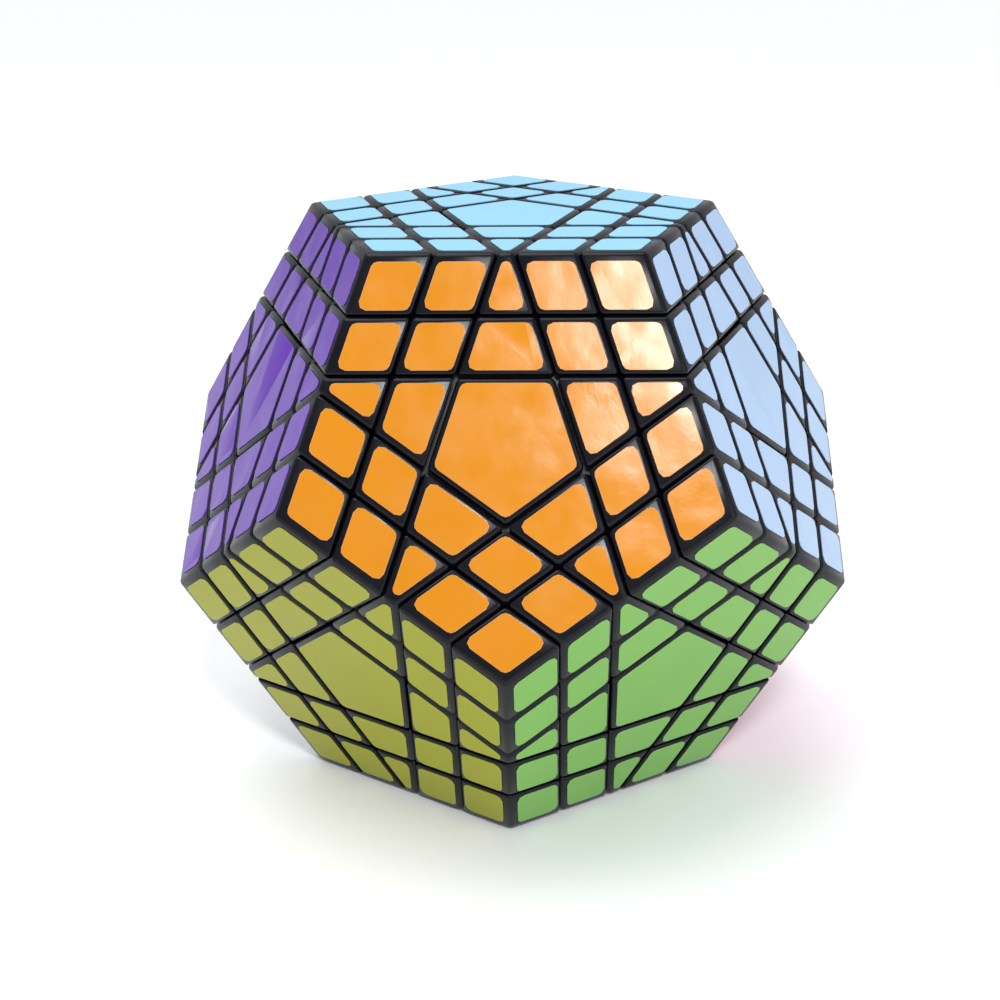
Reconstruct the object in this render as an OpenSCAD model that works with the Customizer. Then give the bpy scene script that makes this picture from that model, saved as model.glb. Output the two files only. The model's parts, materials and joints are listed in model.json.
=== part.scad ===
// Twelve-sided twisty puzzle with two turning layers behind every face.
// The origin is the centre of the core, where all twelve turning axes meet. +Z is the axis of the top face.
// Every layer is bounded by a surface of revolution about its own face's axis: a flat cut near the outside,
// then a cone that runs in to the core, with a wider foot at its lower end. A piece is the space that its own
// layers share, so its foot reaches under its neighbours and they hold it on the core.

/* [Shell] */
// Length of one edge of the dodecahedron
edge = 47; // [42:1:60]
// Width of the narrow end of an edge's middle piece
tip_w = 2.6; // [2:0.2:6]
// Depth of the second layer, measured along a neighbouring face
slice_w = 10.2; // [8:0.2:12]
// Gap between neighbouring pieces
gap = 0.25; // [0.15:0.05:0.4]

/* [Mechanism] */
// Radius of the seat that the pieces slide on
seat_r = 33; // [27:0.5:36]
// Height of the feet above the seat
foot_h = 3.5; // [2.5:0.5:5]
// Half angle of the cone that bounds an outer layer
outer_cone = 40; // [38:0.5:41]
// Half angle of the cone that bounds a second layer
slice_cone = 47; // [46:0.5:48]
// How much wider, in degrees, an outer layer is at its feet
outer_foot = 3.5; // [2:0.5:4]
// How much wider, in degrees, a second layer is at its feet
slice_foot = 4; // [2:0.5:4.5]

/* [Core] */
// Running clearance between the ball and its seat
seat_gap = 0.25; // [0.1:0.05:0.5]
// Wall of the hollow ball
ball_wall = 4.5; // [3:0.5:6]
// Radius of a screw boss inside the ball
boss_r = 4.2; // [3.5:0.1:5]
// Length of thread that a boss gives a screw, measured in from the outside of the ball
boss_l = 15; // [10:0.5:16]

/* [Screws and springs] */
// Radius of a screw's shank
shank_r = 1.5; // [1:0.1:1.8]
// Radius of a screw's head
head_r = 3; // [2.6:0.1:3.2]
// Height of a screw's head
head_h = 1.8; // [1.2:0.1:2]
// Width of the slot in a screw's head
slot_w = 0.8; // [0.6:0.1:1]
// How far a washer reaches past the screw's head
washer_lip = 0.9; // [0.6:0.1:1]
// Thickness of the washer under the head
washer_h = 0.6; // [0.4:0.1:0.8]
// Thickness of a spring's wire
wire = 0.6; // [0.4:0.1:0.7]
// Mean radius of a spring
spring_r = 3.2; // [3:0.1:3.4]
// Turns of a spring
turns = 3; // [3:1:5]
// Length of a spring as fitted
spring_l = 5.5; // [5:0.5:6]
// Radial clearance of a screw in a hub
shank_gap = 0.25; // [0.15:0.05:0.4]
// Radial clearance of a screw in its boss
thread_gap = 0.02; // [0.01:0.01:0.05]

/* [Centre caps] */
// Thickness of a cap
cap_h = 3; // [2:0.5:4]
// Radius of the pocket in a hub
pocket_r = 4.6; // [4.4:0.1:5]
// Depth of the plug under a cap
plug_h = 1.6; // [1:0.2:2]
// Radial clearance of a plug in its pocket
plug_gap = 0.06; // [0.03:0.01:0.1]
// Height left free between a plug and the screw's head
head_room = 0.6; // [0.4:0.1:1]

/* [Stickers] */
// Thickness of a sticker
sticker_h = 0.2; // [0.1:0.05:0.3]
// Distance of a sticker from the line where two pieces meet
sticker_inset = 1.05; // [0.8:0.05:1.3]
// Distance of a sticker from an edge of the dodecahedron
edge_inset = 1.5; // [1.2:0.1:1.8]
// Radius of a sticker's corners
corner_r = 1.2; // [0.6:0.1:1.6]

/* [Hidden] */
$fn = 72;
// Flats round the cones
cone_sides = 20;
// Turn of the flats, so that they do not meet along a symmetry plane
flat_turn = 4;
// Reach of the cutting shapes, as a share of the shell's radius
clear_share = 1.4;
// Lowest point of the cutting shapes, as a share of the seat's radius
low_share = 0.45;
// Length of the slot in a screw's head, as a share of the head's radius
slot_share = 1.4;
// Most of a sticker's side that one rounded corner may take
corner_share = 0.45;
// How far a piece's axis leans from its outer layers' faces towards its second layers' faces
lean = 0.5;
golden = (1 + sqrt(5)) / 2;
// Angle between the axes of two neighbouring faces
face_angle = acos(1 / sqrt(5));
// Distance from the centre to a face, and from a face's middle to its edge
shell_r = edge * golden * golden / (2 * sqrt(3 - golden));
face_r = edge / (2 * tan(36));
// Distance from the centre to a corner of the dodecahedron
tip_r = edge * sqrt(3) * golden / 2;
// Distances of the two cuts from an edge of a face, measured along the face
cut_2 = (edge - tip_w) / 2 * sin(72);
cut_1 = cut_2 - slice_w;
// The same cuts as heights above the centre, measured along the axis of the layer they bound
outer_z = shell_r - cut_1 * sin(face_angle);
slice_z = shell_r - cut_2 * sin(face_angle);
// Radius that clears the whole shell
clear_r = shell_r * clear_share;
// Height below which no profile is needed, because the seat cuts it away
low_z = seat_r * low_share;
ball_r = seat_r - seat_gap;
// Heights of the pieces stacked on each axis
cap_z = shell_r - cap_h;
head_top = cap_z - plug_h - head_room;
head_z = head_top - head_h;
washer_z = head_z - washer_h;
spring_z = washer_z - spring_l;
washer_r = head_r + washer_lip;
// Length of the slot across a screw's head
slot_l = head_r * slot_share;
boss_z = ball_r - boss_l;

// Faces: top, five of the upper ring, five of the lower ring, bottom
face_top = 0;
face_bottom = 11;
faces = [0:11];
face_tilt = [for (f = faces) f == 0 ? 0 : f < 6 ? face_angle : f < 11 ? 180 - face_angle : 180];
face_turn = [for (f = faces) f == 0 ? 0 : f < 6 ? -90 + 72 * (f - 1) : f < 11 ? -54 + 72 * (f - 6) : 0];
tints = ["lightskyblue", "orange", "lightsteelblue", "moccasin", "darkgreen", "rebeccapurple",
    "yellowgreen", "pink", "crimson", "white", "gold", "mediumblue"];
plastic = "#141416";
steel = "silver";

// Layers about the vertical axis
top_layer = 0;
top_slice = 1;
middle = 2;
bottom_slice = 3;
bottom_layer = 4;

function axis(f) = [sin(face_tilt[f]) * cos(face_turn[f]), sin(face_tilt[f]) * sin(face_turn[f]), cos(face_tilt[f])];
function touch(f, g) = abs(axis(f) * axis(g) - cos(face_angle)) < 0.01;
function total(list) = [for (k = [0:2]) sum_of([for (v = list) v[k]])];
function sum_of(n, i = 0) = i < len(n) ? n[i] + sum_of(n, i + 1) : 0;
function has(list, f) = len([for (x = list) if (x == f) x]) > 0;

// Direction of face g as seen on face f, in f's own plane
function edge_angle(f, g) = let (
    v = axis(g),
    x1 = v[0] * cos(face_turn[f]) + v[1] * sin(face_turn[f]),
    y1 = v[1] * cos(face_turn[f]) - v[0] * sin(face_turn[f]),
    x2 = x1 * cos(face_tilt[f]) - v[2] * sin(face_tilt[f])
) atan2(y1, x2);

// Pieces, each as [faces whose outer layer holds it, faces whose second layer holds it]
corner_list = [for (f = faces, g = faces, h = faces)
    if (f < g && g < h && touch(f, g) && touch(g, h) && touch(f, h)) [[f, g, h], []]];
wing_list = [for (f = faces, g = faces, h = faces)
    if (f < g && touch(f, g) && touch(g, h) && touch(f, h)) [[f, g], [h]]];
midge_list = [for (f = faces, g = faces) if (f < g && touch(f, g)) [[f, g], []]];
x_list = [for (f = faces, g = faces, h = faces)
    if (g < h && touch(f, g) && touch(g, h) && touch(f, h)) [[f], [g, h]]];
t_list = [for (f = faces, g = faces) if (touch(f, g)) [[f], [g]]];
hub_list = [for (f = faces) [[f], []]];

function layer_of(p) = has(p[0], face_top) ? top_layer : has(p[1], face_top) ? top_slice
    : has(p[0], face_bottom) ? bottom_layer : has(p[1], face_bottom) ? bottom_slice : middle;
function in_layer(list, layer) = [for (p = list) if (layer_of(p) == layer) p];

// Point where the line at distance da along direction a meets the line at distance db along b
function meet(a, da, b, db) = [da * sin(b) - db * sin(a), db * cos(a) - da * cos(b)] / sin(b - a);

module on_axis(f) {
    rotate([0, face_tilt[f], face_turn[f]]) children();
}

// Space of one layer about +Z, grown by s (shrunk where s is negative): a flat cut, a cone, and a wider cone at
// the feet. The cones have many flats. What is inside a layer stays within the true cone and what is outside
// stays clear of it, so the layer turns freely.
module layer_space(z, cone, foot, s) {
    step = cone + foot / 2;
    step_r = seat_r + foot_h + s;
    wide = s > 0 ? 1 / cos(180 / cone_sides) : 1;
    top_z = s > 0 ? clear_r : shell_r;
    rim_r = s > 0 ? clear_r : sqrt(tip_r * tip_r - z * z) + gap;
    profile = [
        meet(-cone - foot, s, 90, low_z),
        meet(-cone - foot, s, 90 - step, step_r),
        meet(-cone, s, 90 - step, step_r),
        meet(-cone, s, 90, z - s)
    ];
    rotate([0, 0, flat_turn]) rotate_extrude($fn = cone_sides) polygon(concat(
        [[0, low_z]],
        [for (p = profile) [p[0] * wide, p[1]]],
        [[rim_r, z - s], [rim_r, top_z], [0, top_z]]));
}

module outer_space(f, s) {
    on_axis(f) layer_space(outer_z, outer_cone, outer_foot, s);
}

module slice_space(f, s) {
    on_axis(f) layer_space(slice_z, slice_cone, slice_foot, s);
}

// Space shared by the outer layers a and the second layers b, outside the outer layers c and second layers d,
// with a flat bottom that touches the seat square to the piece's own axis
module piece(a, b, c, d) {
    v = total([for (f = a) axis(f)]) + (len(b) > 0 ? lean * total([for (f = b) axis(f)]) : [0, 0, 0]);
    resize([0, 0, 0]) difference() {
        intersection() {
            intersection_for (f = a) outer_space(f, -gap / 2);
            if (len(b) > 0) intersection_for (f = b) slice_space(f, -gap / 2);
        }
        rotate([0, acos(v[2] / norm(v)), atan2(v[1], v[0])]) translate([-clear_r, -clear_r, seat_r - clear_r])
            cube([2 * clear_r, 2 * clear_r, clear_r]);
        for (f = c) outer_space(f, gap / 2);
        for (f = d) slice_space(f, gap / 2);
    }
}

module corners(layer) {
    for (p = in_layer(corner_list, layer)) piece(p[0], [], [], []);
}

module wings(layer) {
    for (p = in_layer(wing_list, layer)) piece(p[0], p[1], p[1], []);
}

module midges(layer) {
    for (p = in_layer(midge_list, layer)) {
        ends = [for (h = faces) if (touch(h, p[0][0]) && touch(h, p[0][1])) h];
        piece(p[0], [], [], ends);
    }
}

module x_centres(layer) {
    for (p = in_layer(x_list, layer)) piece(p[0], p[1], p[1], []);
}

module t_centres(layer) {
    for (p = in_layer(t_list, layer)) {
        sides = [for (h = faces) if (touch(h, p[0][0]) && touch(h, p[1][0])) h];
        piece(p[0], p[1], p[1], sides);
    }
}

module centre_space(f) {
    piece([f], [], [], [for (g = faces) if (touch(f, g)) g]);
}

module hubs(layer) {
    for (p = in_layer(hub_list, layer)) difference() {
        centre_space(p[0][0]);
        on_axis(p[0][0]) {
            translate([0, 0, cap_z]) cylinder(r = clear_r, h = 2 * cap_h);
            translate([0, 0, spring_z]) cylinder(r = pocket_r, h = shell_r);
            cylinder(r = shank_r + shank_gap, h = shell_r);
        }
    }
}

// A cap's sides run straight up, so that it lifts off
module caps(layer) {
    for (p = in_layer(hub_list, layer)) on_axis(p[0][0]) {
        translate([0, 0, cap_z]) linear_extrude(cap_h) polygon(centre_outline(p[0][0], cut_2 + gap / 2));
        translate([0, 0, cap_z - plug_h]) cylinder(r = pocket_r - plug_gap, h = plug_h + cap_h / 2);
    }
}

// Outline with its corners rounded, as far as its sides leave room
function rounded(pts, r) = let (n = len(pts)) [for (i = [0:n - 1]) let (
    a = pts[(i + n - 1) % n] - pts[i],
    b = pts[(i + 1) % n] - pts[i],
    u = a / norm(a),
    v = b / norm(b),
    half = acos(u * v) / 2,
    run = min(r / tan(half), corner_share * min(norm(a), norm(b))),
    middle_pt = pts[i] + (u + v) / norm(u + v) * run / cos(half),
    from = pts[i] + u * run - middle_pt,
    to = pts[i] + v * run - middle_pt,
    sweep = 180 - 2 * half,
    steps = 2
) for (k = [0:steps])
    middle_pt + (from * sin(sweep * (1 - k / steps)) + to * sin(sweep * k / steps)) / sin(sweep)];

// Corner of a sticker: da in from edge a of the face and db in from edge b
function spot(a, da, b, db) = meet(a, face_r - da, b, face_r - db);

// Five-sided outline round the middle of face f, side in from each edge
function centre_outline(f, side) = let (first = edge_angle(f, [for (g = faces) if (touch(f, g)) g][0]))
    [for (k = [0:4]) spot(first + 72 * k, side, first + 72 * (k + 1), side)];

// Outlines on face f. g and h are the neighbouring faces that the piece also lies near.
module sticker(f, pts) {
    on_axis(f) translate([0, 0, shell_r]) linear_extrude(sticker_h) polygon(rounded(pts, corner_r));
}

function box_pts(a, a0, a1, b, b0, b1) =
    [spot(a, a0, b, b0), spot(a, a1, b, b0), spot(a, a1, b, b1), spot(a, a0, b, b1)];

module corner_sticker(f, g, h) {
    a = edge_angle(f, g);
    b = edge_angle(f, h);
    sticker(f, box_pts(a, edge_inset, cut_1 - sticker_inset, b, edge_inset, cut_1 - sticker_inset));
}

module wing_sticker(f, g, h) {
    a = edge_angle(f, g);
    b = edge_angle(f, h);
    sticker(f, box_pts(a, edge_inset, cut_1 - sticker_inset, b, cut_1 + sticker_inset, cut_2 - sticker_inset));
}

module x_sticker(f, g, h) {
    a = edge_angle(f, g);
    b = edge_angle(f, h);
    sticker(f, box_pts(a, cut_1 + sticker_inset, cut_2 - sticker_inset, b, cut_1 + sticker_inset,
        cut_2 - sticker_inset));
}

// Four-sided sticker whose ends run towards the middle of the face, from depth d0 to d1 off edge g
module row_sticker(f, g, d0, d1) {
    a = edge_angle(f, g);
    side = cut_2 + sticker_inset;
    sticker(f, [spot(a, d0, a + 72, side), spot(a, d1, a + 72, side), spot(a, d1, a - 72, side),
        spot(a, d0, a - 72, side)]);
}

module midge_sticker(f, g) {
    row_sticker(f, g, edge_inset, cut_1 - sticker_inset);
}

module t_sticker(f, g) {
    row_sticker(f, g, cut_1 + sticker_inset, cut_2 - sticker_inset);
}

module centre_sticker(f) {
    sticker(f, centre_outline(f, cut_2 + sticker_inset));
}

// Stickers on face f that move with one layer, without the centre one
module piece_stickers(layer, f) {
    for (p = in_layer(corner_list, layer)) if (has(p[0], f)) {
        others = [for (g = p[0]) if (g != f) g];
        corner_sticker(f, others[0], others[1]);
    }
    for (p = in_layer(wing_list, layer)) if (has(p[0], f))
        wing_sticker(f, p[0][0] == f ? p[0][1] : p[0][0], p[1][0]);
    for (p = in_layer(midge_list, layer)) if (has(p[0], f))
        midge_sticker(f, p[0][0] == f ? p[0][1] : p[0][0]);
    for (p = in_layer(x_list, layer)) if (p[0][0] == f) x_sticker(f, p[1][0], p[1][1]);
    for (p = in_layer(t_list, layer)) if (p[0][0] == f) t_sticker(f, p[1][0]);
}

module stickers(layer, f) {
    color(tints[f]) {
        piece_stickers(layer, f);
        if (layer_of([[f], []]) == layer) centre_sticker(f);
    }
}

// Hollow ball with a screw boss on each axis
module core() {
    color(plastic) difference() {
        union() {
            difference() {
                sphere(r = ball_r);
                sphere(r = ball_r - ball_wall);
            }
            for (f = faces) on_axis(f) translate([0, 0, boss_z])
                cylinder(r = boss_r, h = boss_l - ball_wall / 2);
        }
        for (f = faces) on_axis(f) translate([0, 0, boss_z - 1])
            cylinder(r = shank_r + thread_gap, h = boss_l + ball_wall);
    }
}

module tension_screws() {
    color(steel) for (f = faces) on_axis(f) difference() {
        union() {
            translate([0, 0, boss_z + 1]) cylinder(r = shank_r, h = head_z - boss_z);
            translate([0, 0, head_z]) cylinder(r = head_r, h = head_h);
        }
        for (a = [0, 90]) rotate([0, 0, a])
            translate([-slot_l / 2, -slot_w / 2, head_top - head_h / 2]) cube([slot_l, slot_w, head_h]);
    }
}

module washers() {
    color(steel) for (f = faces) on_axis(f) translate([0, 0, washer_z]) difference() {
        cylinder(r = washer_r, h = washer_h);
        translate([0, 0, -1]) cylinder(r = shank_r + shank_gap / 2, h = washer_h + 2);
    }
}

// Wire of one spring: each level cuts it along an arc, which the twist carries round
module spring() {
    arc = 110;
    steps = 2;
    inner = spring_r - wire / 2;
    outer = spring_r + wire / 2;
    linear_extrude(spring_l, twist = -360 * turns, slices = 8 * turns, segments = 1) polygon(concat(
        [for (k = [0:steps]) outer * [cos(arc * k / steps), sin(arc * k / steps)]],
        [for (k = [steps:-1:0]) inner * [cos(arc * k / steps), sin(arc * k / steps)]]));
}

module springs() {
    color(steel) for (f = faces) on_axis(f) translate([0, 0, spring_z]) spring();
}

// Pieces of the middle band
module middle_hubs() { color(plastic) hubs(middle); }
module middle_caps() { color(plastic) caps(middle); }
module middle_corners() { color(plastic) corners(middle); }
module middle_wings() { color(plastic) wings(middle); }
module middle_midges() { color(plastic) midges(middle); }
module middle_x_centres() { color(plastic) x_centres(middle); }
module middle_t_centres() { color(plastic) t_centres(middle); }

// Pieces of the top layer
module top_hub() { color(plastic) hubs(top_layer); }
module top_cap() { color(plastic) caps(top_layer); }
module top_cap_sticker() { color(tints[face_top]) centre_sticker(face_top); }
module top_corners() { color(plastic) corners(top_layer); }
module top_edges() {
    color(plastic) {
        wings(top_layer);
        midges(top_layer);
    }
}
module top_inner_pieces() {
    color(plastic) {
        x_centres(top_layer);
        t_centres(top_layer);
    }
}
module top_face_stickers() { color(tints[face_top]) piece_stickers(top_layer, face_top); }

// Pieces of the layer below the top one
module top_slice_wings() { color(plastic) wings(top_slice); }
module top_slice_x_centres() { color(plastic) x_centres(top_slice); }
module top_slice_t_centres() { color(plastic) t_centres(top_slice); }

// Pieces of the layer above the bottom one
module bottom_slice_wings() { color(plastic) wings(bottom_slice); }
module bottom_slice_x_centres() { color(plastic) x_centres(bottom_slice); }
module bottom_slice_t_centres() { color(plastic) t_centres(bottom_slice); }

// Pieces of the bottom layer
module bottom_hub() { color(plastic) hubs(bottom_layer); }
module bottom_cap() { color(plastic) caps(bottom_layer); }
module bottom_corners() { color(plastic) corners(bottom_layer); }
module bottom_edges() {
    color(plastic) {
        wings(bottom_layer);
        midges(bottom_layer);
    }
}
module bottom_inner_pieces() {
    color(plastic) {
        x_centres(bottom_layer);
        t_centres(bottom_layer);
    }
}
module bottom_face_stickers() { stickers(bottom_layer, face_bottom); }

// Stickers, by the layer they move with and their face
module top_orange_stickers() { stickers(top_layer, 1); }
module top_grey_stickers() { stickers(top_layer, 2); }
module top_cream_stickers() { stickers(top_layer, 3); }
module top_green_stickers() { stickers(top_layer, 4); }
module top_purple_stickers() { stickers(top_layer, 5); }
module top_slice_orange_stickers() { stickers(top_slice, 1); }
module top_slice_grey_stickers() { stickers(top_slice, 2); }
module top_slice_cream_stickers() { stickers(top_slice, 3); }
module top_slice_green_stickers() { stickers(top_slice, 4); }
module top_slice_purple_stickers() { stickers(top_slice, 5); }
module middle_orange_stickers() { stickers(middle, 1); }
module middle_grey_stickers() { stickers(middle, 2); }
module middle_cream_stickers() { stickers(middle, 3); }
module middle_green_stickers() { stickers(middle, 4); }
module middle_purple_stickers() { stickers(middle, 5); }
module middle_lime_stickers() { stickers(middle, 6); }
module middle_pink_stickers() { stickers(middle, 7); }
module middle_red_stickers() { stickers(middle, 8); }
module middle_white_stickers() { stickers(middle, 9); }
module middle_yellow_stickers() { stickers(middle, 10); }
module bottom_slice_lime_stickers() { stickers(bottom_slice, 6); }
module bottom_slice_pink_stickers() { stickers(bottom_slice, 7); }
module bottom_slice_red_stickers() { stickers(bottom_slice, 8); }
module bottom_slice_white_stickers() { stickers(bottom_slice, 9); }
module bottom_slice_yellow_stickers() { stickers(bottom_slice, 10); }
module bottom_lime_stickers() { stickers(bottom_layer, 6); }
module bottom_pink_stickers() { stickers(bottom_layer, 7); }
module bottom_red_stickers() { stickers(bottom_layer, 8); }
module bottom_white_stickers() { stickers(bottom_layer, 9); }
module bottom_yellow_stickers() { stickers(bottom_layer, 10); }

core();
tension_screws();
washers();
springs();
middle_hubs();
middle_caps();
middle_corners();
middle_wings();
middle_midges();
middle_x_centres();
middle_t_centres();
top_hub();
top_cap();
top_cap_sticker();
top_corners();
top_edges();
top_inner_pieces();
top_face_stickers();
top_slice_wings();
top_slice_x_centres();
top_slice_t_centres();
bottom_slice_wings();
bottom_slice_x_centres();
bottom_slice_t_centres();
bottom_hub();
bottom_cap();
bottom_corners();
bottom_edges();
bottom_inner_pieces();
bottom_face_stickers();
top_orange_stickers();
top_grey_stickers();
top_cream_stickers();
top_green_stickers();
top_purple_stickers();
top_slice_orange_stickers();
top_slice_grey_stickers();
top_slice_cream_stickers();
top_slice_green_stickers();
top_slice_purple_stickers();
middle_orange_stickers();
middle_grey_stickers();
middle_cream_stickers();
middle_green_stickers();
middle_purple_stickers();
middle_lime_stickers();
middle_pink_stickers();
middle_red_stickers();
middle_white_stickers();
middle_yellow_stickers();
bottom_slice_lime_stickers();
bottom_slice_pink_stickers();
bottom_slice_red_stickers();
bottom_slice_white_stickers();
bottom_slice_yellow_stickers();
bottom_lime_stickers();
bottom_pink_stickers();
bottom_red_stickers();
bottom_white_stickers();
bottom_yellow_stickers();
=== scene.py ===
"""Looks for the twelve-sided twisty puzzle: moulded pieces, vinyl stickers, steel screws and springs."""

import json
import math

import bmesh
import bpy
from mathutils import Matrix, Vector


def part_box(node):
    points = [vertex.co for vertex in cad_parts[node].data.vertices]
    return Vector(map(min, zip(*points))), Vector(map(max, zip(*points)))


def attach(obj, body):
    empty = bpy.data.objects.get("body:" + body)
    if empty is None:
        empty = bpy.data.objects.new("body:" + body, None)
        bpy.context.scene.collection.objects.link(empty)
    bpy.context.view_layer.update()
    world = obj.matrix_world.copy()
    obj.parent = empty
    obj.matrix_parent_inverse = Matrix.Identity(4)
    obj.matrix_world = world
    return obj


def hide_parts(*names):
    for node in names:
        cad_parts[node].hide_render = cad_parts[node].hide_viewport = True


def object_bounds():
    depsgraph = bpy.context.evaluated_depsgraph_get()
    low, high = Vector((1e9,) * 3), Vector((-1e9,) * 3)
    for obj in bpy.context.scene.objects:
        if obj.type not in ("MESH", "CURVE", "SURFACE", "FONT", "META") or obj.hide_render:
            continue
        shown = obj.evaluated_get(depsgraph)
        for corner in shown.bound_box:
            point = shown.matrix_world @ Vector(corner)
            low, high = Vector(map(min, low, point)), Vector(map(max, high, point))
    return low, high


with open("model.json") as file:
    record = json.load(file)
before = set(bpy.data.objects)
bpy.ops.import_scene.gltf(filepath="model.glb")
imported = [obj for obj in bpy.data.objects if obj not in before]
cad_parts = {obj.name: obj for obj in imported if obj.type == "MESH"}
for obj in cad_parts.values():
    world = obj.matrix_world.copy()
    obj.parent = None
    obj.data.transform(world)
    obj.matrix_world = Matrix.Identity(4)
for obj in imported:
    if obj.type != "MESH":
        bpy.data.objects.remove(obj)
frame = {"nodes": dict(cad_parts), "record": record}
CAD_LO, CAD_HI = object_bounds()

# The frame's own sizes: every piece's place follows from these
GOLDEN = (1 + math.sqrt(5)) / 2
FACE_ANGLE = math.acos(1 / math.sqrt(5))
SHELL_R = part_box("top_cap")[1][2]
EDGE = SHELL_R * 2 * math.sqrt(3 - GOLDEN) / GOLDEN ** 2

# Camera: where it stands, how it leans, and its lens and framing
CAMERA_AZIMUTH = math.radians(1.4)
CAMERA_ELEVATION = math.radians(19.2)
CAMERA_ROLL = math.radians(-0.55)
CAMERA_DISTANCE = 8.05 * EDGE
CAMERA_LENS = 71.0
CAMERA_SHIFT = (-0.013, -0.016)
CAMERA_SENSOR = 36
CAMERA_CLIP = (0.01, 60)

# Rounding of the moulded pieces' outer edges, and of a sticker's cut edge
PIECE_ROUND = 0.00075
PIECE_SEGMENTS = 3
STICKER_ROUND = 0.00006
# How near a point lies to an outer face to count as on it, and how near points are to be one
ON_FACE = 2e-5
WELD = 2e-6
# Angles that tell a flat from an edge
FLAT_ANGLE = math.radians(0.5)
PIECE_EDGE_ANGLE = math.radians(20)
STICKER_EDGE_ANGLE = math.radians(50)
SMOOTH_ANGLE = math.radians(35)
STICKER_SEGMENTS = 2

# Plastics: colour, lowest and highest roughness
SHELL_PLASTIC = ((0.0020, 0.0022, 0.0045), 0.16, 0.30)
HUB_PLASTIC = ((0.014, 0.014, 0.016), 0.25, 0.4)
CORE_PLASTIC = ((0.02, 0.02, 0.022), 0.4, 0.55)
PLASTIC_IOR = 1.3
PLASTIC_TONES = (0.75, 1.5)
SCUFF_WIDTH = 0.0004
SCUFF_MOST = 0.55

# Vinyl: spread of its tone, the paler line along its trimmed edge, which is partly a painted highlight,
# and its gloss
VINYL_IOR = 1.32
VINYL_TONES = (0.93, 1.06)
VINYL_ROUGH = (0.10, 0.24)
CUT_EDGE_AND_HIGHLIGHT_WIDTH = 0.00016
CUT_EDGE_AND_HIGHLIGHT_SHARE = 0.7
RIPPLE_HEIGHT = 0.0006

# Steel pieces: colour and roughness
STEEL = {
    "tension_screws": ("zinc_screw", (0.62, 0.62, 0.64), 0.3),
    "washers": ("zinc_washer", (0.66, 0.66, 0.68), 0.35),
    "springs": ("spring_steel", (0.5, 0.5, 0.52), 0.25),
}
STEEL_EDGE = (0.8, 0.8, 0.8)
STEEL_EDGE_WIDTH = 0.0002

# Floor and lights
FLOOR_SIZE = 40
FLOOR_GAP = 0.0002
FLOOR_ROUGH = 0.6
SKY_COLOUR = (0.95, 0.97, 1.0, 1)
SKY_STRENGTH = 0.6

PLASTIC_NODES = [
    "middle_caps", "middle_corners", "middle_wings",
    "middle_midges", "middle_x_centres", "middle_t_centres",
    "top_cap", "top_corners", "top_edges", "top_inner_pieces",
    "top_slice_wings", "top_slice_x_centres", "top_slice_t_centres",
    "bottom_slice_wings", "bottom_slice_x_centres", "bottom_slice_t_centres",
    "bottom_cap", "bottom_corners", "bottom_edges", "bottom_inner_pieces",
]
HUB_NODES = ["middle_hubs", "top_hub", "bottom_hub"]
VINYL = {
    "light_blue": (0.25, 0.59, 0.82),
    "orange": (0.56, 0.20, 0.006),
    # grey: its blue tint is a painted reflection of bluish light; the sticker's own colour is a plain
    # grey
    "grey": (0.35, 0.48, 0.68),
    "cream": (0.85, 0.74, 0.45),
    "green": (0.004, 0.13, 0.05),
    "purple": (0.09, 0.006, 0.34),
    # lime: darker than the sticker's own light green; this darkening is painted shade
    "lime": (0.17, 0.385, 0.080),
    "pink": (0.86, 0.30, 0.45),
    "red": (0.55, 0.015, 0.02),
    "white": (0.84, 0.84, 0.83),
    # yellow: darkened to olive, below the sticker's own yellow; this darkening is painted shade
    "yellow": (0.30, 0.31, 0.003),
    "blue": (0.015, 0.08, 0.45),
}


def make_camera():
    data = bpy.data.cameras.new("camera")
    camera = bpy.data.objects.new("camera", data)
    bpy.context.collection.objects.link(camera)
    back = Vector((
        math.sin(CAMERA_AZIMUTH) * math.cos(CAMERA_ELEVATION),
        -math.cos(CAMERA_AZIMUTH) * math.cos(CAMERA_ELEVATION),
        math.sin(CAMERA_ELEVATION),
    ))
    camera.location = back * CAMERA_DISTANCE
    turn = (-back).to_track_quat("-Z", "Y").to_matrix().to_4x4()
    roll = Matrix.Rotation(CAMERA_ROLL, 4, "Z")
    camera.rotation_euler = (turn @ roll).to_euler()
    data.sensor_width = CAMERA_SENSOR
    data.lens = CAMERA_LENS
    data.shift_x, data.shift_y = CAMERA_SHIFT
    data.clip_start, data.clip_end = CAMERA_CLIP
    bpy.context.scene.camera = camera


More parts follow.
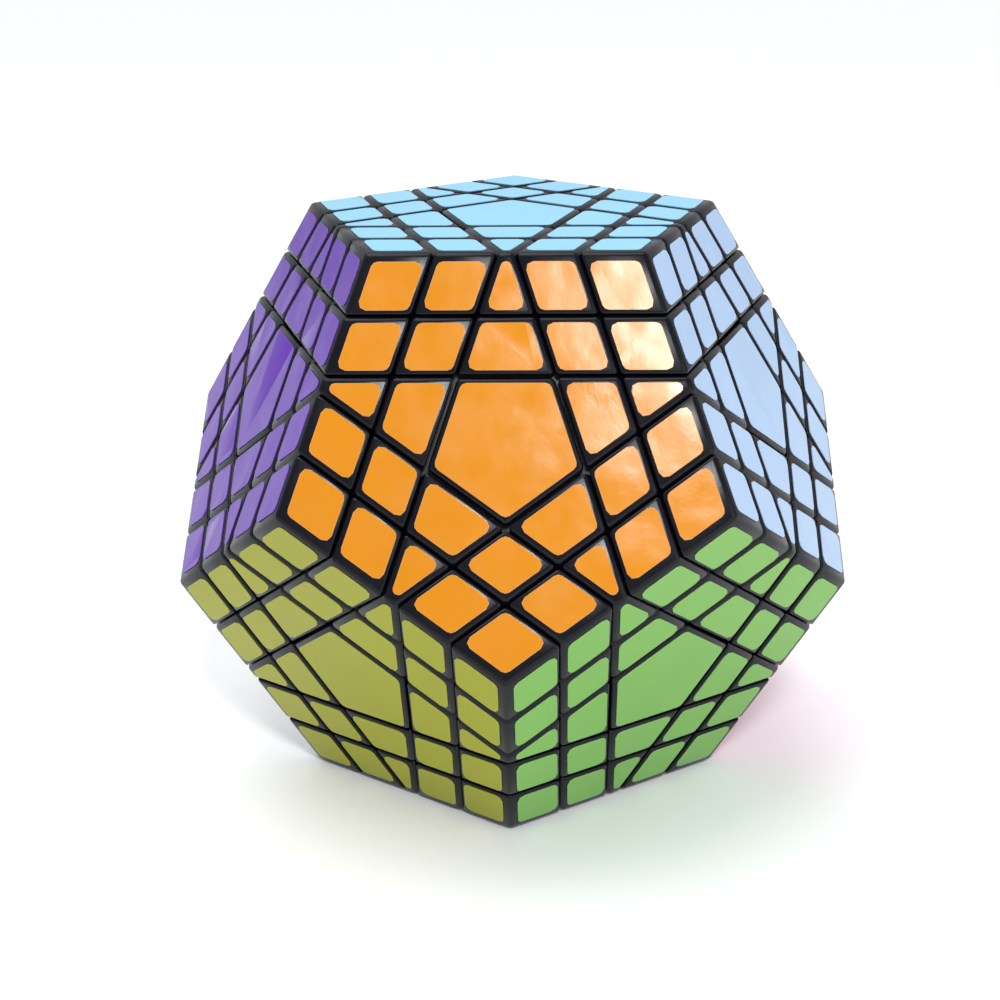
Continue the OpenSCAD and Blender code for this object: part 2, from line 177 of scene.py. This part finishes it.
class Nodes:
    """Short way to build a material's node tree."""

    def __init__(self, name):
        self.material = bpy.data.materials.new(name)
        self.material.use_nodes = True
        self.tree = self.material.node_tree
        self.shader = self.tree.nodes["Principled BSDF"]

    def add(self, kind, **values):
        node = self.tree.nodes.new(kind)
        for key, value in values.items():
            setattr(node, key, value)
        return node

    def link(self, source, target):
        self.tree.links.new(source, target)

    def place(self):
        return self.add("ShaderNodeTexCoord").outputs["Object"]

    def noise(self, scale, detail=4.0, rough=0.55):
        node = self.add("ShaderNodeTexNoise")
        node.inputs["Scale"].default_value = scale
        node.inputs["Detail"].default_value = detail
        node.inputs["Roughness"].default_value = rough
        self.link(self.place(), node.inputs["Vector"])
        return node.outputs["Fac"]

    def span(self, source, low, high, from_low=0.0, from_high=1.0):
        node = self.add("ShaderNodeMapRange")
        node.inputs["From Min"].default_value = from_low
        node.inputs["From Max"].default_value = from_high
        node.inputs["To Min"].default_value = low
        node.inputs["To Max"].default_value = high
        self.link(source, node.inputs["Value"])
        return node.outputs["Result"]

    def mix(self, factor, first, second):
        node = self.add("ShaderNodeMix", data_type="RGBA")
        self.link(factor, node.inputs["Factor"])
        for value, socket in ((first, node.inputs[6]), (second, node.inputs[7])):
            if isinstance(value, tuple):
                socket.default_value = (*value, 1.0)
            else:
                self.link(value, socket)
        return node.outputs[2]

    def bump(self, height, distance, strength=1.0, under=None):
        node = self.add("ShaderNodeBump")
        node.inputs["Strength"].default_value = strength
        node.inputs["Distance"].default_value = distance
        self.link(height, node.inputs["Height"])
        if under is not None:
            self.link(under, node.inputs["Normal"])
        return node.outputs["Normal"]

    def edge(self, radius, start, full):
        """1 along sharp edges, 0 on flats."""
        bevel = self.add("ShaderNodeBevel", samples=4)
        bevel.inputs["Radius"].default_value = radius
        flat = self.add("ShaderNodeNewGeometry")
        dot = self.add("ShaderNodeVectorMath", operation="DOT_PRODUCT")
        self.link(bevel.outputs["Normal"], dot.inputs[0])
        self.link(flat.outputs["Normal"], dot.inputs[1])
        return self.span(dot.outputs["Value"], 1.0, 0.0, full, start)


def plastic_material(name, colour, rough_low, rough_high):
    """Moulded plastic with a fine grain, slightly uneven gloss and light scuffs on its edges."""
    n = Nodes(name)
    dark, light = (tuple(c * tone for c in colour) for tone in PLASTIC_TONES)
    tone = n.mix(n.noise(60, 3), dark, light)
    worn = tuple(min(1, c * 5 + 0.006) for c in colour)
    scuff = n.add("ShaderNodeMath", operation="MULTIPLY")
    n.link(n.edge(SCUFF_WIDTH, 0.995, 0.90), scuff.inputs[0])
    n.link(n.span(n.noise(240, 5), 0, SCUFF_MOST, 0.42, 0.72), scuff.inputs[1])
    n.link(n.mix(scuff.outputs[0], tone, worn), n.shader.inputs["Base Color"])
    gloss = n.span(n.noise(150, 6), rough_low, rough_high, 0.3, 0.7)
    n.link(gloss, n.shader.inputs["Roughness"])
    grain = n.bump(n.noise(4500, 3), 0.000012, 0.5)
    n.link(n.bump(n.noise(110, 2), 0.00008, 0.5, grain), n.shader.inputs["Normal"])
    n.shader.inputs["IOR"].default_value = PLASTIC_IOR
    return n.material


def vinyl_material(name, colour):
    """Glossy sticker vinyl, a little wavy, with a paler line along its trimmed edge that is partly a
    painted highlight.
    """
    n = Nodes(name)
    dark, light = (tuple(min(1, c * tone) for c in colour) for tone in VINYL_TONES)
    shade = n.mix(n.noise(45, 3), dark, light)
    # The paler edge line: partly the vinyl's own trimmed edge, partly a painted highlight along it
    cut_edge_and_highlight = tuple(min(1, c * 0.6 + 0.35) for c in colour)
    cut_edge_and_highlight_mask = n.add("ShaderNodeMath", operation="MULTIPLY")
    n.link(n.edge(CUT_EDGE_AND_HIGHLIGHT_WIDTH, 0.99, 0.80), cut_edge_and_highlight_mask.inputs[0])
    cut_edge_and_highlight_mask.inputs[1].default_value = CUT_EDGE_AND_HIGHLIGHT_SHARE
    n.link(n.mix(cut_edge_and_highlight_mask.outputs[0], shade, cut_edge_and_highlight), n.shader.inputs["Base Color"])
    n.link(n.span(n.noise(130, 6), *VINYL_ROUGH, 0.3, 0.7), n.shader.inputs["Roughness"])
    fine = n.bump(n.noise(1500, 3), 0.00002, 0.35)
    n.link(n.bump(n.noise(95, 2, 0.4), RIPPLE_HEIGHT, 0.35, fine), n.shader.inputs["Normal"])
    n.shader.inputs["IOR"].default_value = VINYL_IOR
    return n.material


def steel_material(name, colour, rough):
    """Plated steel, brighter along its edges."""
    n = Nodes(name)
    tone = n.mix(n.noise(300, 4), tuple(c * 0.8 for c in colour), colour)
    bright = n.mix(n.edge(STEEL_EDGE_WIDTH, 0.99, 0.8), tone, STEEL_EDGE)
    n.link(bright, n.shader.inputs["Base Color"])
    gloss = n.span(n.noise(900, 5), rough * 0.7, rough * 1.4, 0.3, 0.7)
    n.link(gloss, n.shader.inputs["Roughness"])
    n.link(n.bump(n.noise(3000, 3), 0.00001, 0.6), n.shader.inputs["Normal"])
    n.shader.inputs["Metallic"].default_value = 1.0
    return n.material


def floor_material():
    n = Nodes("floor")
    pale = n.mix(n.noise(3, 3), (0.92, 0.92, 0.92), (0.94, 0.94, 0.94))
    n.link(pale, n.shader.inputs["Base Color"])
    n.shader.inputs["Roughness"].default_value = FLOOR_ROUGH
    return n.material


def face_axes():
    """Outward axes of the twelve faces."""
    axes = [Vector((0, 0, 1)), Vector((0, 0, -1))]
    for tilt, first in ((FACE_ANGLE, -90), (math.pi - FACE_ANGLE, -54)):
        for k in range(5):
            a = math.radians(first + 72 * k)
            out = math.sin(tilt)
            axes.append(Vector((out * math.cos(a), out * math.sin(a), math.cos(tilt))))
    return axes


AXES = face_axes()


def on_shell(point):
    return any(abs(point.dot(axis) - SHELL_R) < ON_FACE for axis in AXES)


def set_material(obj, material):
    obj.data.materials.clear()
    obj.data.materials.append(material)


def rounded_copy(node, body, material):
    """A copy of a CAD node whose edges at the outer faces are rounded, as moulded pieces are."""
    source = frame["nodes"][node]
    mesh = source.data.copy()
    mesh.name = node + "_moulded"
    piece = bpy.data.objects.new(node + "_moulded", mesh)
    bpy.context.collection.objects.link(piece)
    bpy.ops.object.select_all(action="DESELECT")
    piece.select_set(True)
    bpy.context.view_layer.objects.active = piece
    bpy.ops.object.mode_set(mode="EDIT")
    bpy.ops.mesh.select_all(action="SELECT")
    bpy.ops.mesh.remove_doubles(threshold=WELD)
    bpy.ops.mesh.dissolve_limited(angle_limit=FLAT_ANGLE)
    bpy.ops.mesh.select_mode(type="EDGE")
    bpy.ops.mesh.select_all(action="DESELECT")
    bm = bmesh.from_edit_mesh(mesh)
    for edge in bm.edges:
        outer = [on_shell(v.co) for v in edge.verts]
        if not any(outer) or len(edge.link_faces) != 2:
            continue
        if edge.calc_face_angle(0) < PIECE_EDGE_ANGLE:
            continue
        edge.select = True
    bmesh.update_edit_mesh(mesh)
    bpy.ops.mesh.bevel(offset=PIECE_ROUND, segments=PIECE_SEGMENTS, profile=0.5,
                       affect="EDGES", clamp_overlap=False)
    bpy.ops.mesh.select_all(action="SELECT")
    bpy.ops.mesh.normals_make_consistent(inside=False)
    bpy.ops.object.mode_set(mode="OBJECT")
    bpy.ops.object.shade_smooth_by_angle(angle=SMOOTH_ANGLE)
    set_material(piece, material)
    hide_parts(node)
    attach(piece, body)


def body_of_node(node):
    for body, nodes in frame["record"]["behaviour"]["bodies"].items():
        if node in nodes:
            return body
    raise ValueError(node)


def slot_of_node(node):
    for entry in frame["record"]["subparts"]:
        if entry["node"] == node:
            return entry["material_slot"]
    raise ValueError(node)


def soften(node, width, material):
    """Welds and slightly rounds a CAD node as it is shown; its own mesh stays as it is."""
    obj = frame["nodes"][node]
    weld = obj.modifiers.new("weld", "WELD")
    weld.merge_threshold = WELD
    bevel = obj.modifiers.new("round", "BEVEL")
    bevel.width = width
    bevel.segments = STICKER_SEGMENTS
    bevel.limit_method = "ANGLE"
    bevel.angle_limit = STICKER_EDGE_ANGLE
    bevel.harden_normals = True
    set_material(obj, material)


def build_pieces():
    shell = plastic_material("black_plastic", *SHELL_PLASTIC)
    for node in PLASTIC_NODES:
        rounded_copy(node, body_of_node(node), shell)
    hub = plastic_material("hub_plastic", *HUB_PLASTIC)
    for node in HUB_NODES:
        set_material(frame["nodes"][node], hub)
    set_material(frame["nodes"]["core"], plastic_material("core_plastic", *CORE_PLASTIC))
    for node, finish in STEEL.items():
        set_material(frame["nodes"][node], steel_material(*finish))


def build_stickers():
    vinyl = {"vinyl_" + name: vinyl_material("vinyl_" + name, colour)
             for name, colour in VINYL.items()}
    for node in frame["nodes"]:
        if "sticker" in node:
            soften(node, STICKER_ROUND, vinyl[slot_of_node(node)])


def build_stage():
    bpy.ops.mesh.primitive_plane_add(size=FLOOR_SIZE, location=(0, 0, CAD_LO[2] - FLOOR_GAP))
    floor = bpy.context.active_object
    floor.name = "floor"
    floor.data.materials.append(floor_material())


def area_light(name, place, size, power, colour=(1, 1, 1)):
    data = bpy.data.lights.new(name, "AREA")
    data.shape = "RECTANGLE"
    data.size, data.size_y = size
    data.energy = power
    data.color = colour
    light = bpy.data.objects.new(name, data)
    bpy.context.collection.objects.link(light)
    light.location = place
    light.rotation_euler = (-Vector(place)).to_track_quat("-Z", "Y").to_euler()


def sun_light(name, place, strength, spread):
    data = bpy.data.lights.new(name, "SUN")
    data.energy = strength
    data.angle = math.radians(spread)
    light = bpy.data.objects.new(name, data)
    bpy.context.collection.objects.link(light)
    light.rotation_euler = (-Vector(place)).to_track_quat("-Z", "Y").to_euler()


def build_light():
    world = bpy.data.worlds.new("world")
    bpy.context.scene.world = world
    world.use_nodes = True
    background = world.node_tree.nodes["Background"]
    background.inputs["Color"].default_value = SKY_COLOUR
    background.inputs["Strength"].default_value = SKY_STRENGTH
    sun_light("overhead", (-0.2, 0.1, 0.9), 1.6, 50)
    area_light("window", (0.125, -0.81, 0.70), (0.15, 0.20), 6.0, (0.96, 0.98, 1.0))
    area_light("fill", (0.8, -0.6, 0.3), (0.8, 0.6), 2.0)
    bpy.context.scene.view_settings.view_transform = "Standard"


make_camera()
build_light()
build_stage()
build_pieces()
build_stickers()
